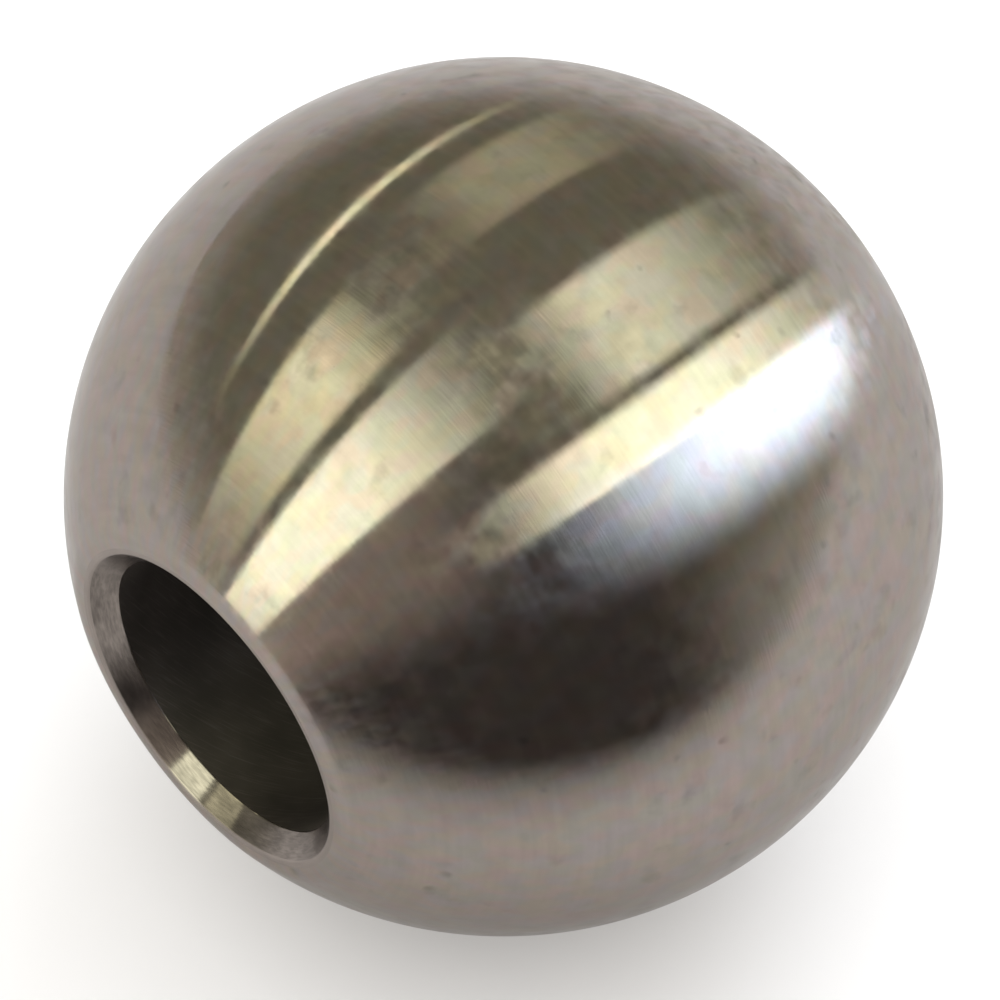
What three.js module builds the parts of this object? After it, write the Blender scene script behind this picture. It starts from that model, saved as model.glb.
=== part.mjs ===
// A bare hitch ball: a ground steel ball with a plain bore through its centre.
//
// Millimetres. The origin is the ball's centre. +Y runs along the bore's axis, +Z is up,
// and the ball lies on its side, so its lowest point is one ball radius below the origin.
// The two ends of the bore are alike: a turned land and a 45 degree chamfer.

import * as THREE from "three";

// Driving dimensions
const BALL_DIAMETER = 58.74;
const ACROSS_LANDS = 52.6;
const BORE_DIAMETER = 20.9;
const CHAMFER_LEG = 1.45;

// How finely the round shapes are divided
const TURNS = 64;
const ARC_STEPS = 26;

// Ground steel
const STEEL_COLOUR = 0x9b938f;
const STEEL_ROUGHNESS = 0.25;
const STEEL_METALNESS = 1.0;

const ballRadius = BALL_DIAMETER / 2;
const boreRadius = BORE_DIAMETER / 2;
const landHeight = ACROSS_LANDS / 2;

/** Points on the ball's outside, from the rim of the -Y land to the rim of the +Y land. */
function ballArc() {
  const rimLatitude = Math.asin(landHeight / ballRadius);
  const points = [];
  for (let step = 0; step <= ARC_STEPS; step += 1) {
    const latitude = THREE.MathUtils.lerp(-rimLatitude, rimLatitude, step / ARC_STEPS);
    points.push(
      new THREE.Vector2(ballRadius * Math.cos(latitude), ballRadius * Math.sin(latitude))
    );
  }
  return points;
}

/** The chamfer at one end, from the land in to the bore's wall; side is -1 or +1. */
function mouth(side) {
  return [
    new THREE.Vector2(boreRadius + CHAMFER_LEG, side * landHeight),
    new THREE.Vector2(boreRadius, side * (landHeight - CHAMFER_LEG)),
  ];
}

/** The ball's closed section on one side of the axis, counter-clockwise. */
function ballSection() {
  const outline = [...ballArc(), ...mouth(1), ...mouth(-1).reverse()];
  outline.push(outline[0].clone());
  return outline;
}

/** The whole ball: its section turned about the bore's axis. */
function hitchBall() {
  const steel = new THREE.MeshStandardMaterial({
    color: STEEL_COLOUR,
    roughness: STEEL_ROUGHNESS,
    metalness: STEEL_METALNESS,
  });
  const mesh = new THREE.Mesh(new THREE.LatheGeometry(ballSection(), TURNS), steel);
  mesh.name = "hitch_ball";
  return mesh;
}

const model = new THREE.Group();
model.add(hitchBall());

export default model;
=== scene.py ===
"""A bare ground-steel hitch ball lying on its side on a pale floor.

Metres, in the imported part's own frame: the origin is the ball's centre, +Y runs along the
bore and +Z is up. Places on the ball are given as a longitude round the bore's axis, zero
at the top and growing towards +X, and a latitude, -90 degrees at the mouth in view.
"""

import math

import bpy
from mathutils import Matrix, Vector


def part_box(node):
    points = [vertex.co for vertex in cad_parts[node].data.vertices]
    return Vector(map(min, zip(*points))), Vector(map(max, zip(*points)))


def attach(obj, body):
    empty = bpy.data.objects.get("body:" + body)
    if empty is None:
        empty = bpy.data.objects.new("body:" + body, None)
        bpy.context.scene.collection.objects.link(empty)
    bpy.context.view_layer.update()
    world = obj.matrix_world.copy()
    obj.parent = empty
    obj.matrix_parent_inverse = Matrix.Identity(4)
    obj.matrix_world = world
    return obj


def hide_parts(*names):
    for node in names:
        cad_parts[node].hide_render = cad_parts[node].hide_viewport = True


MM = 0.001

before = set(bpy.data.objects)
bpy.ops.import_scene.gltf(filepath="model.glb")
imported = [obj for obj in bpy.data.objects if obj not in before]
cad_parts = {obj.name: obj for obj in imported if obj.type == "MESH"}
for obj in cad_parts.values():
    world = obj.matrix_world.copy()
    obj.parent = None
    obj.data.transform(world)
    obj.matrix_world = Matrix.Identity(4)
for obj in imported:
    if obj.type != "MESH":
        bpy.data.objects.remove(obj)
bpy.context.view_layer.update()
low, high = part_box("hitch_ball")

# Sizes of the ball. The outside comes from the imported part.
BALL_RADIUS = (high.x - low.x) / 2
LAND_HEIGHT = (high.y - low.y) / 2
BORE_RADIUS = 10.45 * MM
CHAMFER_LEG = 1.45 * MM

# Small rounds left by grinding and wear
RIM_ROUND = 3.2 * MM
CHAMFER_LIP_ROUND = 0.35 * MM
CHAMFER_FOOT_ROUND = 0.16 * MM

# How finely the fine mesh is divided
TURNS = 384
BALL_RINGS = 160
ROUND_RINGS = 7
FLAT_RINGS = 4
BORE_RINGS = 40

# The camera looks down on the ball from its bored side
CAMERA_AZIMUTH = 46.96
CAMERA_ELEVATION = 50.43
CAMERA_DISTANCE = 12 * BALL_RADIUS
CAMERA_LENS = 189.36
CAMERA_SENSOR = 36.0
CAMERA_CLIPS = (0.01, 50.0)
CAMERA_AIM = Vector((-0.23 * MM, -0.23 * MM))


# ---------------------------------------------------------------- the ball's shape

def rounded(before, corner, after, radius, steps):
    """Points of an arc of this radius that rounds the corner between two straight stretches."""
    into = (corner - before).normalized()
    out = (after - corner).normalized()
    turn = into.angle(out)
    cut = radius * math.tan(turn / 2)
    start = corner - into * cut
    side = (out - into * into.dot(out)).normalized()
    centre = start + side * radius
    return [
        centre - side * radius * math.cos(turn * k / steps) + into * radius * math.sin(turn * k / steps)
        for k in range(steps + 1)
    ]


def between(start, end, steps):
    """Points evenly inside a straight stretch, without its two ends."""
    return [start.lerp(end, k / steps) for k in range(1, steps)]


def mouth_outline():
    """From the ball's surface in to the bore, at the +Y end, as (zone, point) pairs."""
    rim_radius = math.sqrt(BALL_RADIUS ** 2 - LAND_HEIGHT ** 2)
    along_ball = Vector((-LAND_HEIGHT, rim_radius)).normalized()
    rim = Vector((rim_radius, LAND_HEIGHT))
    lip = Vector((BORE_RADIUS + CHAMFER_LEG, LAND_HEIGHT))
    foot = Vector((BORE_RADIUS, LAND_HEIGHT - CHAMFER_LEG))
    deep = Vector((BORE_RADIUS, 0))
    rim_arc = rounded(rim - along_ball * RIM_ROUND, rim, lip, RIM_ROUND, ROUND_RINGS)
    lip_arc = rounded(rim, lip, foot, CHAMFER_LIP_ROUND, ROUND_RINGS)
    foot_arc = rounded(lip, foot, deep, CHAMFER_FOOT_ROUND, ROUND_RINGS)
    stretches = (
        ("ball", rim_arc),
        ("land", between(rim_arc[-1], lip_arc[0], FLAT_RINGS)),
        ("land", lip_arc),
        ("chamfer", between(lip_arc[-1], foot_arc[0], FLAT_RINGS)),
        ("chamfer", foot_arc),
        ("bore", between(foot_arc[-1], deep, BORE_RINGS // 2)),
    )
    return [(zone, point) for zone, points in stretches for point in points]


def ball_outline():
    """The whole closed section, as (zone, point) pairs; a zone covers the stretch up to its point."""
    mouth = mouth_outline()
    start = mouth[0][1]
    top_latitude = math.atan2(start.y, start.x)
    ball = []
    for k in range(1, BALL_RINGS):
        latitude = top_latitude * (2 * k / BALL_RINGS - 1)
        ball.append(("ball", BALL_RADIUS * Vector((math.cos(latitude), math.sin(latitude)))))
    mirrored = [Vector((p.x, -p.y)) for _, p in reversed(mouth)]
    zones = [zone for zone, _ in reversed(mouth)]
    far = [(zones[max(k - 1, 0)], p) for k, p in enumerate(mirrored)]
    return ball + mouth + [("bore", Vector((BORE_RADIUS, 0)))] + far


def turned_mesh(name, outline, zones):
    """The closed section turned about the Y axis, one material slot for each zone."""
    rings = len(outline)
    vertices = []
    for _, point in outline:
        for k in range(TURNS):
            angle = 2 * math.pi * k / TURNS
            vertices.append((point.x * math.sin(angle), point.y, point.x * math.cos(angle)))
    faces = []
    slots = []
    for ring in range(rings):
        following = (ring + 1) % rings
        for k in range(TURNS):
            beside = (k + 1) % TURNS
            faces.append((
                ring * TURNS + k,
                ring * TURNS + beside,
                following * TURNS + beside,
                following * TURNS + k,
            ))
            slots.append(zones.index(outline[following][0]))
    mesh = bpy.data.meshes.new(name)
    mesh.from_pydata(vertices, [], faces)
    mesh.polygons.foreach_set("material_index", slots)
    mesh.polygons.foreach_set("use_smooth", [True] * len(faces))
    mesh.validate()
    return mesh


# ---------------------------------------------------------------- node graphs

# Nearly all of a noise's values lie between these
NOISE_ENDS = (0.3, 0.7)


class Graph:
    """Adds nodes to a new material or world.

    A value given to an input is a number, a tuple or another node's output.
    """

    def __init__(self, owner):
        owner.use_nodes = True
        self.owner = owner
        self.tree = owner.node_tree
        self.shader = self.tree.nodes.get("Principled BSDF")

    def set(self, socket, value):
        if isinstance(value, bpy.types.NodeSocket):
            self.tree.links.new(value, socket)
        else:
            socket.default_value = value

    def add(self, kind, inputs, **settings):
        made = self.tree.nodes.new(kind)
        for name, value in settings.items():
            setattr(made, name, value)
        for name, value in inputs.items():
            self.set(made.inputs[name], value)
        return made

    def math(self, operation, *values):
        return self.add("ShaderNodeMath", dict(enumerate(values)), operation=operation).outputs[0]

    def vector(self, operation, *values, output=0):
        made = self.add("ShaderNodeVectorMath", dict(enumerate(values)), operation=operation)
        return made.outputs[output]

    def sum(self, *values):
        total = values[0]
        for value in values[1:]:
            total = self.math("ADD", total, value)
        return total

    def noise(self, place, pitches, detail=0.0):
        """Soft noise, about 0.5 on average, that changes over these lengths."""
        scaled = self.vector("MULTIPLY", place, tuple(1 / pitch for pitch in pitches))
        inputs = {"Vector": scaled, "Scale": 1.0, "Detail": detail}
        return self.add("ShaderNodeTexNoise", inputs).outputs[0]

    def scatter(self, place, size):
        """Distance from the nearest of some points scattered about this far apart, in the same unit."""
        inputs = {"Vector": place, "Scale": 1 / size}
        return self.math("MULTIPLY", self.add("ShaderNodeTexVoronoi", inputs).outputs["Distance"], size)

    def remap(self, value, ends, to=(0.0, 1.0), soft=False):
        inputs = {"Value": value, "From Min": ends[0], "From Max": ends[1], "To Min": to[0], "To Max": to[1]}
        kind = "SMOOTHSTEP" if soft else "LINEAR"
        return self.add("ShaderNodeMapRange", inputs, interpolation_type=kind).outputs["Result"]

    def mix(self, factor, a, b, blend="MIX"):
        made = self.add("ShaderNodeMix", {}, data_type="RGBA", blend_type=blend)
        self.set(made.inputs["Factor"], factor)
        self.set(made.inputs["A"], a)
        self.set(made.inputs["B"], b)
        return made.outputs["Result"]

    def scaled(self, colour, amount):
        made = self.add("ShaderNodeVectorMath", {0: colour}, operation="SCALE")
        self.set(made.inputs["Scale"], amount)
        return made.outputs[0]


def new_material(name):
    return Graph(bpy.data.materials.new(name))


# ---------------------------------------------------------------- steel

STEEL = (0.335, 0.292, 0.266)
RIM_TINT = (0.80, 0.78, 0.77)

# An anisotropic shine is turned this much to run across the marks
QUARTER_TURN = 0.25


def places(graph):
    """The place itself, its distance along the axis and from it, and the unit vector out from it."""
    place = graph.add("ShaderNodeTexCoord", {}).outputs["Object"]
    along = graph.add("ShaderNodeSeparateXYZ", {0: place}).outputs["Y"]
    across = graph.vector("MULTIPLY", place, (1, 0, 1))
    reach = graph.vector("LENGTH", across, output="Value")
    outward = graph.vector("NORMALIZE", across)
    return place, along, reach, outward


def round_axis(graph, along, outward):
    """A place whose X is a distance along the surface, and whose Y and Z lie on a circle.

    The circle has the ball's radius, so noise over this place has no seam round the axis.
    """
    turn = graph.add("ShaderNodeSeparateXYZ", {0: outward}).outputs
    sideways = [graph.math("MULTIPLY", turn[axis], BALL_RADIUS) for axis in "XZ"]
    return graph.add("ShaderNodeCombineXYZ", {0: along, 1: sideways[0], 2: sideways[1]}).outputs[0]


def finish_metal(graph, colour, roughness, height, anisotropy=1.0):
    """Metal whose shine spreads across marks that run round the bore's axis."""
    shader = graph.shader
    graph.set(shader.inputs["Base Color"], colour)
    graph.set(shader.inputs["Roughness"], roughness)
    shader.inputs["Metallic"].default_value = 1.0
    shader.inputs["Anisotropic"].default_value = anisotropy
    shader.inputs["Anisotropic Rotation"].default_value = QUARTER_TURN
    shader.inputs["Specular Tint"].default_value = (*RIM_TINT, 1)
    tangent = graph.add("ShaderNodeTangent", {}, direction_type="RADIAL", axis="Y")
    graph.set(shader.inputs["Tangent"], tangent.outputs[0])
    bump = graph.add("ShaderNodeBump", {"Height": height, "Distance": 1.0, "Strength": 1.0})
    graph.set(shader.inputs["Normal"], bump.outputs[0])
    return graph.owner


# Marks round the axis on the ball: how wide, how long and how high
GROOVES = (0.13 * MM, 2.5 * MM, 0.0025 * MM)
WAVES = (1.6 * MM, 9 * MM, 0.005 * MM)

# Faint tints in soft patches
PINK = (1.20, 0.87, 0.93)
YELLOW = (1.08, 1.06, 0.74)
GREEN = (0.82, 1.08, 0.96)
PALE_BLUE = (0.91, 0.99, 1.24)
TINT_SIZE = 2.0 * MM
TINT_STRENGTH = 0.25
HUE_ENDS = (0.4, 0.6)
WARMTH_ENDS = (0.42, 0.58)

# Lighter and darker patches, and fine streaks round the axis: their sizes and shades
PATCH_SIZE = 1.5 * MM
PATCH_SHADES = (0.955, 1.045)
STREAKS = (0.5 * MM, 9 * MM)
STREAK_SHADES = (0.965, 1.035)
STREAK_DULLNESS = 0.015

# Duller and brighter patches, which show most in a highlight: their size and roughness
DULL_SIZE = 1.7 * MM
DULL_ENDS = (0.35, 0.65)
DULLNESS = (0.10, 0.18)

# Stains: their size, where in the noise they start and end, their shade and added roughness
STAIN_SIZE = 2.6 * MM
STAIN_ENDS = (0.58, 0.76)
STAIN_SHADE = 0.85
STAIN_DULLNESS = 0.04

# Scattered specks of dirt: how far apart, the least and most they reach, and their shade
SPECK_APART = 4.2 * MM
SPECK_REACHES = (0.1 * MM, 0.7 * MM)
SPECK_UNEVENNESS = 1.3 * MM
SPECK_SHADE = 0.72


def mottled_tint(graph, place, size):
    """Soft patches of four pale tints, of about this size."""
    hue = graph.noise(place, (1.1 * size, 0.8 * size, 0.8 * size), detail=1.0)
    warmth = graph.noise(place, (size, 0.9 * size, 0.9 * size), detail=1.0)
    warm = graph.mix(graph.remap(hue, HUE_ENDS), (*PINK, 1), (*YELLOW, 1))
    cold = graph.mix(graph.remap(hue, HUE_ENDS), (*PALE_BLUE, 1), (*GREEN, 1))
    return graph.mix(graph.remap(warmth, WARMTH_ENDS), warm, cold)


def marks_height(graph, rings, marks, detail=0.0):
    """How high the marks round the axis stand."""
    width, length, high_by = marks
    return graph.math("MULTIPLY", graph.noise(rings, (width, length, length), detail), high_by)


def speck_shade(graph, place):
    """1, and darker in specks of uneven size."""
    unevenness = graph.noise(place, (SPECK_UNEVENNESS,) * 3, detail=1.0)
    reach = graph.remap(unevenness, DULL_ENDS, SPECK_REACHES)
    from_speck = graph.math("DIVIDE", graph.scatter(place, SPECK_APART), reach)
    return graph.remap(from_speck, (0.0, 1.0), (SPECK_SHADE, 1.0), soft=True)


def ground_steel():
    """The ball's outside: fine grooves round the axis, faint tints, stains and specks."""
    graph = new_material("ground_steel")
    place, height, reach, outward = places(graph)
    along = graph.math("MULTIPLY", graph.math("ARCTAN2", height, reach), BALL_RADIUS)
    rings = round_axis(graph, along, outward)

    patches = graph.noise(place, (PATCH_SIZE,) * 3, detail=3.0)
    streaks = graph.noise(rings, (STREAKS[0], STREAKS[1], STREAKS[1]), detail=2.0)
    stains = graph.noise(place, (STAIN_SIZE,) * 3, detail=3.0)
    dulling = graph.noise(rings, (DULL_SIZE,) * 3, detail=2.0)

    tint = mottled_tint(graph, rings, TINT_SIZE)
    colour = graph.mix(TINT_STRENGTH, (*STEEL, 1), tint, "MULTIPLY")
    colour = graph.scaled(colour, graph.remap(patches, NOISE_ENDS, PATCH_SHADES))
    colour = graph.scaled(colour, graph.remap(streaks, NOISE_ENDS, STREAK_SHADES))
    colour = graph.scaled(colour, graph.remap(stains, STAIN_ENDS, (1.0, STAIN_SHADE), soft=True))
    colour = graph.scaled(colour, speck_shade(graph, place))

    roughness = graph.sum(
        graph.remap(streaks, NOISE_ENDS, (0.0, STREAK_DULLNESS)),
        graph.remap(dulling, DULL_ENDS, DULLNESS),
        graph.remap(stains, STAIN_ENDS, (0.0, STAIN_DULLNESS), soft=True),
    )
    height = graph.sum(marks_height(graph, rings, GROOVES, detail=1.0), marks_height(graph, rings, WAVES))
    return finish_metal(graph, colour, roughness, height)


# Uneven painted shade on the turned faces, in blotches this wide and long
BLOTCHES = (1.1 * MM, 6 * MM)


def turned_steel(name, marks, roughness, tone_and_painted_shade, mark_shades):
    """A face cut on a lathe: rings round the axis, with painted shade that darkens its colour unevenly in
    blotches.
    """
    graph = new_material(name)
    _, _, reach, outward = places(graph)
    rings = round_axis(graph, reach, outward)
    width, length, high_by = marks
    cut = graph.noise(rings, (width, length, length), detail=1.0)
    blotches = graph.noise(rings, (BLOTCHES[0], BLOTCHES[1], BLOTCHES[1]), detail=2.0)
    colour = graph.scaled(STEEL, graph.remap(blotches, DULL_ENDS, tone_and_painted_shade))
    colour = graph.scaled(colour, graph.remap(cut, NOISE_ENDS, mark_shades))
    return finish_metal(graph, colour, roughness, graph.math("MULTIPLY", cut, high_by))


# The reamer's scratches wind round the bore, this many radians to the metre. Then how long,
# how wide and how high they are, and where in their noise they start and end.
SCRATCH_TWIST = 190.0
SCRATCHES = (1.0 * MM, 0.2 * MM, 0.0015 * MM)
SCRATCH_ENDS = (0.5, 0.75)

# The bore's dark shades, which are painted shade darkening the steel to about a third inside the bore, the
# grime in it, its roughness and its weak anisotropy
BORE_PAINTED_SHADES = (0.34, 0.46)
GRIME_SIZE = 4 * MM
GRIME_SHADES = (0.8, 1.2)
BORE_ROUGHNESS = 0.55
BORE_ANISOTROPY = 0.3


def reamed_steel():
    """The bore's wall: dull and darkened by painted shade, with fine scratches that wind round it."""
    graph = new_material("reamed_steel")
    place, height, _, _ = places(graph)
    twist = graph.math("MULTIPLY", height, SCRATCH_TWIST)
    wound = graph.add("ShaderNodeVectorRotate", {"Vector": place, "Angle": twist}, rotation_type="Y_AXIS")
    length, width, high_by = SCRATCHES
    scratches = graph.noise(wound.outputs[0], (width, length, width), detail=2.0)
    grime = graph.noise(place, (GRIME_SIZE,) * 3, detail=2.0)
    colour = graph.scaled(STEEL, graph.remap(scratches, SCRATCH_ENDS, BORE_PAINTED_SHADES, soft=True))
    colour = graph.scaled(colour, graph.remap(grime, NOISE_ENDS, GRIME_SHADES))
    bumps = graph.math("MULTIPLY", scratches, high_by)
    return finish_metal(graph, colour, BORE_ROUGHNESS, bumps, BORE_ANISOTROPY)


# The tool's marks on the turned faces: how wide, how long and how high
FACING_MARKS = (0.09 * MM, 6 * MM, 0.003 * MM)
CHAMFER_MARKS = (0.1 * MM, 2.0 * MM, 0.004 * MM)

ZONES = {
    "ball": ground_steel(),
    "land": turned_steel("faced_steel", FACING_MARKS, 0.25, tone_and_painted_shade=(0.9, 1.0), mark_shades=(0.95, 1.05)),
    # The chamfer's colour is darkened to between half and four fifths of the steel's: painted shade inside
    # the mouth.
    "chamfer": turned_steel("turned_steel", CHAMFER_MARKS, 0.2, tone_and_painted_shade=(0.5, 0.8), mark_shades=(0.85, 1.2)),
    "bore": reamed_steel(),
}


def make_ball():
    zones = list(ZONES)
    mesh = turned_mesh("ball_surface", ball_outline(), zones)
    for zone in zones:
        mesh.materials.append(ZONES[zone])
    ball = bpy.data.objects.new("ball_surface", mesh)
    bpy.context.scene.collection.objects.link(ball)
    return ball


# ---------------------------------------------------------------- camera

def toward(azimuth, elevation):
    """The direction to a place round the ball; azimuth 0 is -Y and 90 is +X."""
    a, e = math.radians(azimuth), math.radians(elevation)
    return Vector((math.sin(a) * math.cos(e), -math.cos(a) * math.cos(e), math.sin(e)))


def facing(place, target, up):
    """A matrix that puts an object here with its -Z towards the target and its Y along up."""
    back = (place - target).normalized()
    upward = (up - back * up.dot(back)).normalized()
    across = upward.cross(back)
    turn = Matrix((across, upward, back)).transposed()
    return Matrix.Translation(place) @ turn.to_4x4()


CAMERA_PLACE = toward(CAMERA_AZIMUTH, CAMERA_ELEVATION) * CAMERA_DISTANCE
UP = Vector((0, 0, 1))


def make_camera():
    data = bpy.data.cameras.new("camera")
    data.lens = CAMERA_LENS
    data.sensor_width = CAMERA_SENSOR
    data.clip_start, data.clip_end = CAMERA_CLIPS
    camera = bpy.data.objects.new("camera", data)
    right = toward(CAMERA_AZIMUTH + 90, 0)
    upward = CAMERA_PLACE.cross(right).normalized()
    aim = right * CAMERA_AIM.x + upward * CAMERA_AIM.y
    camera.matrix_world = facing(CAMERA_PLACE, aim, UP)
    bpy.context.scene.collection.objects.link(camera)
    bpy.context.scene.camera = camera


# ---------------------------------------------------------------- softboxes that the ball mirrors

SOFTBOX_DISTANCE = 0.9
DEGREES_A_STEP = 0.75
FEWEST_STEPS = 6

LEMON = (0.99, 1.0, 0.68)
WARM_WHITE = (0.94, 1.0, 0.77)
COOL_WHITE = (0.82, 1.0, 1.25)
BROWN = (1.14, 1.0, 0.86)

# Longitudes and latitudes it is mirrored at, brightness, colour, and the fades at its sides and ends
SOFTBOXES = {
    "narrow_strip": ((-14.5, -12.9), (-42, 18), 2.5, LEMON, (0.3, 0.3), (24, 36)),
    "left_softbox": ((-6.2, 7.3), (-62, -21), 2.0, LEMON, (0.8, 1.4), (30, 11)),
    "far_softbox": ((-9.7, 2.8), (-10, 24), 0.5, LEMON, (2, 1), (8, 18)),
    "tall_softbox": ((9.2, 23.2), (-72, -15), 3.0, WARM_WHITE, (0.8, 0.8), (18, 28)),
    "high_softbox": ((13.6, 29.8), (-13, 31), 2.1, WARM_WHITE, (1.6, 1.6), (11, 40)),
    "wide_strip": ((30.2, 38.5), (-32, 36), 3.2, WARM_WHITE, (1.4, 0.8), (20, 36)),
    "cool_softbox": ((36.4, 53), (-27, 48), 4.2, COOL_WHITE, (2.5, 12), (38, 32)),
    "brown_card": ((23, 49), (-74, -25), 0.3, BROWN, (0, 18), (0, 14)),
}


def on_ball(longitude, latitude):
    """The place on the ball's surface at this longitude and latitude, in degrees."""
    lon, lat = math.radians(longitude), math.radians(latitude)
    across = math.cos(lat)
    return BALL_RADIUS * Vector((across * math.sin(lon), math.sin(lat), across * math.cos(lon)))


def mirrored_source(longitude, latitude):
    """The direction that the main camera sees mirrored at this place on the ball."""
    place = on_ball(longitude, latitude)
    normal = place.normalized()
    view = (CAMERA_PLACE - place).normalized()
    return 2 * normal.dot(view) * normal - view


def evenly(start, end):
    """Angles from start to end, about one step apart."""
    steps = max(FEWEST_STEPS, math.ceil((end - start) / DEGREES_A_STEP))
    return [start + (end - start) * k / steps for k in range(steps + 1)]


def soft_edge(distance, fade):
    """0 at an edge, rising smoothly to 1 this far in from it."""
    if not fade:
        return 1.0
    t = min(1.0, distance / fade)
    return t * t * (3 - 2 * t)


def soft_between(value, row, fades):
    """0 at both ends of a row of angles, and 1 between them past the fades."""
    return soft_edge(value - row[0], fades[0]) * soft_edge(row[-1] - value, fades[1])


def softbox_material(name, colour):
    """Even light of one colour, which adds to whatever lies behind it."""
    graph = new_material(name)
    graph.tree.nodes.remove(graph.shader)
    graph.owner.cycles.emission_sampling = "NONE"
    glow = graph.add("ShaderNodeAttribute", {}, attribute_name="glow").outputs["Fac"]
    light = graph.add("ShaderNodeEmission", {"Color": (*colour, 1), "Strength": glow})
    clear = graph.add("ShaderNodeBsdfTransparent", {})
    both = graph.add("ShaderNodeAddShader", {0: light.outputs[0], 1: clear.outputs[0]})
    graph.set(graph.tree.nodes["Material Output"].inputs["Surface"], both.outputs[0])
    return graph.owner


def only_mirrored(piece):
    """Leaves a piece of the stage to the ball's reflections alone."""
    piece.visible_camera = False
    piece.visible_diffuse = False
    piece.visible_shadow = False


def softbox(name, longitudes, latitudes, brightness, colour, side_fades, end_fades):
    """A curved softbox that the ball mirrors between these longitudes and latitudes.

    Its light is even, and falls off softly over the fades, in degrees, at its two sides and
    its two ends.
    """
    across, along = evenly(*longitudes), evenly(*latitudes)
    places, glows = [], []
    for longitude in across:
        side = soft_between(longitude, across, side_fades)
        for latitude in along:
            direction = mirrored_source(longitude, latitude)
            places.append(on_ball(longitude, latitude) + direction * SOFTBOX_DISTANCE)
            glows.append(brightness * side * soft_between(latitude, along, end_fades))
    row = len(along)
    faces = [
        (i * row + j, i * row + j + 1, (i + 1) * row + j + 1, (i + 1) * row + j)
        for i in range(len(across) - 1)
        for j in range(row - 1)
    ]
    mesh = bpy.data.meshes.new(name)
    mesh.from_pydata(places, [], faces)
    mesh.attributes.new("glow", "FLOAT", "POINT").data.foreach_set("value", glows)
    mesh.materials.append(softbox_material(name, colour))
    panel = bpy.data.objects.new(name, mesh)
    only_mirrored(panel)
    bpy.context.scene.collection.objects.link(panel)


# ---------------------------------------------------------------- floor and room

FLOOR_HEIGHT = -BALL_RADIUS
FLOOR_REACH = 8.0
UNDER_SHEET = 0.2 * MM
FLOOR_GREY = 0.93
FLOOR_ROUGHNESS = 0.7

# The grey sheet that the ball mirrors, greyer than the floor as painted shade on the floor, and where it
# fades out towards the camera, in ball radii
PAINTED_SHADE_GREY = 0.66
SHEET_FADE = (1.4, 4.4)


def matt_material(name, grey):
    graph = new_material(name)
    graph.shader.inputs["Base Color"].default_value = (grey, grey, grey, 1)
    graph.shader.inputs["Roughness"].default_value = FLOOR_ROUGHNESS
    return graph


def floor_square(name, height, material):
    """A square of floor, level and centred under the ball."""
    sides = ((-1, -1), (1, -1), (1, 1), (-1, 1))
    corners = [(x * FLOOR_REACH, y * FLOOR_REACH, height) for x, y in sides]
    mesh = bpy.data.meshes.new(name)
    mesh.from_pydata(corners, [], [(0, 1, 2, 3)])
    mesh.materials.append(material)
    square = bpy.data.objects.new(name, mesh)
    bpy.context.scene.collection.objects.link(square)
    return square


def make_floor():
    """A pale floor for the camera, and a greyer sheet that only the ball mirrors: painted shade on the floor
    in the ball's reflections.
    """
    paint = matt_material("pale_floor", FLOOR_GREY).owner
    floor = floor_square("floor", FLOOR_HEIGHT - UNDER_SHEET, paint)
    floor.visible_glossy = False

    # The sheet's grey, darker than the floor's, is painted shade on the floor that only the ball mirrors.
    shade_sheet = matt_material("mirrored_shade_sheet", PAINTED_SHADE_GREY)
    place = shade_sheet.add("ShaderNodeTexCoord", {}).outputs["Object"]
    near = shade_sheet.vector("DOT_PRODUCT", place, toward(CAMERA_AZIMUTH, 0), output="Value")
    fade = [radii * BALL_RADIUS for radii in SHEET_FADE]
    shade_sheet.set(shade_sheet.shader.inputs["Alpha"], shade_sheet.remap(near, fade, (1.0, 0.0), soft=True))
    only_mirrored(floor_square("sheet", FLOOR_HEIGHT, shade_sheet.owner))


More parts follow.
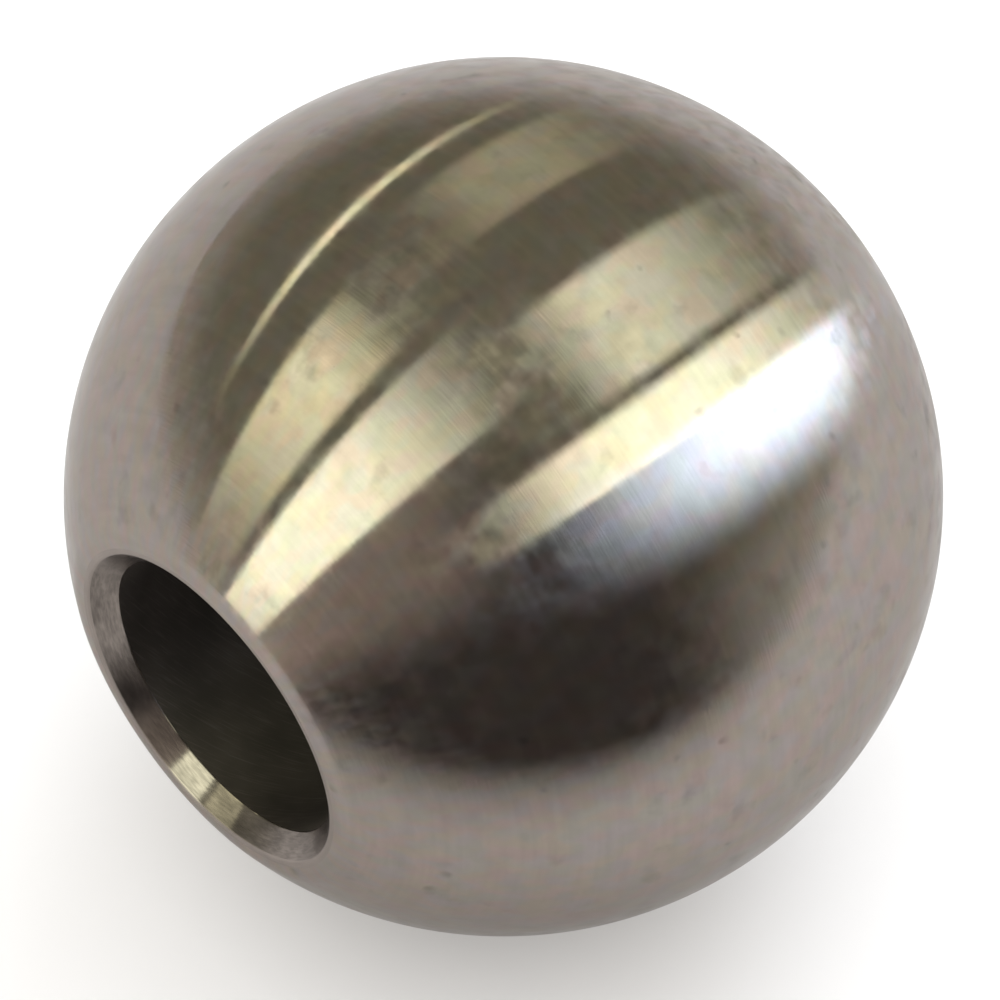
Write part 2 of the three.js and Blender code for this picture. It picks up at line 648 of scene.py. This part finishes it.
# The light on the floor, and the dim room that the ball mirrors
AMBIENT = (1.35, 1.33, 1.30)
ROOM = (0.29, 0.285, 0.21)
ROOM_LOW_DOWN = (0.54, 0.52, 0.45)
ROOM_BY_CAMERA = (0.072, 0.065, 0.059)

# Where one part of the room gives way to the next: how high up, and how far round to the camera
LOW_DOWN_ENDS = (0.0, 0.28)
BY_CAMERA_ENDS = (0.3, 0.8)


def make_world():
    """Even soft light for the floor, while the ball mirrors a dim room that is darkest by the camera."""
    graph = Graph(bpy.data.worlds.new("studio"))
    bpy.context.scene.world = graph.owner
    direction = graph.add("ShaderNodeTexCoord", {}).outputs["Generated"]
    height = graph.add("ShaderNodeSeparateXYZ", {0: direction}).outputs["Z"]
    near = graph.vector("DOT_PRODUCT", direction, toward(CAMERA_AZIMUTH, 0), output="Value")
    wall = graph.mix(graph.remap(height, LOW_DOWN_ENDS, soft=True), (*ROOM_LOW_DOWN, 1), (*ROOM, 1))
    room = graph.mix(graph.remap(near, BY_CAMERA_ENDS, soft=True), wall, (*ROOM_BY_CAMERA, 1))
    mirrored = graph.add("ShaderNodeLightPath", {}).outputs["Is Glossy Ray"]
    shown = graph.mix(mirrored, (*AMBIENT, 1), room)
    graph.set(graph.tree.nodes["Background"].inputs["Color"], shown)


# A soft light from behind and to the right, which lights the floor and doesn't show in the ball
KEY_PLACE = toward(CAMERA_AZIMUTH + 150, 40) * 0.5
KEY_SIZE = 0.3
KEY_POWER = 0.7
KEY_COLOUR = (0.92, 0.97, 1.08)


def make_key_light():
    data = bpy.data.lights.new("key_softbox", "AREA")
    data.shape = "SQUARE"
    data.size = KEY_SIZE
    data.energy = KEY_POWER
    data.color = KEY_COLOUR
    key = bpy.data.objects.new("key_softbox", data)
    key.matrix_world = facing(KEY_PLACE, Vector((0, 0, 0)), UP)
    key.visible_glossy = False
    bpy.context.scene.collection.objects.link(key)


make_camera()
make_world()
make_key_light()
make_floor()
for box_name, settings in SOFTBOXES.items():
    softbox(box_name, *settings)

ball = make_ball()
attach(ball, "root")
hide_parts("hitch_ball")

bpy.context.scene.view_settings.view_transform = "Standard"

bpy.context.view_layer.update()
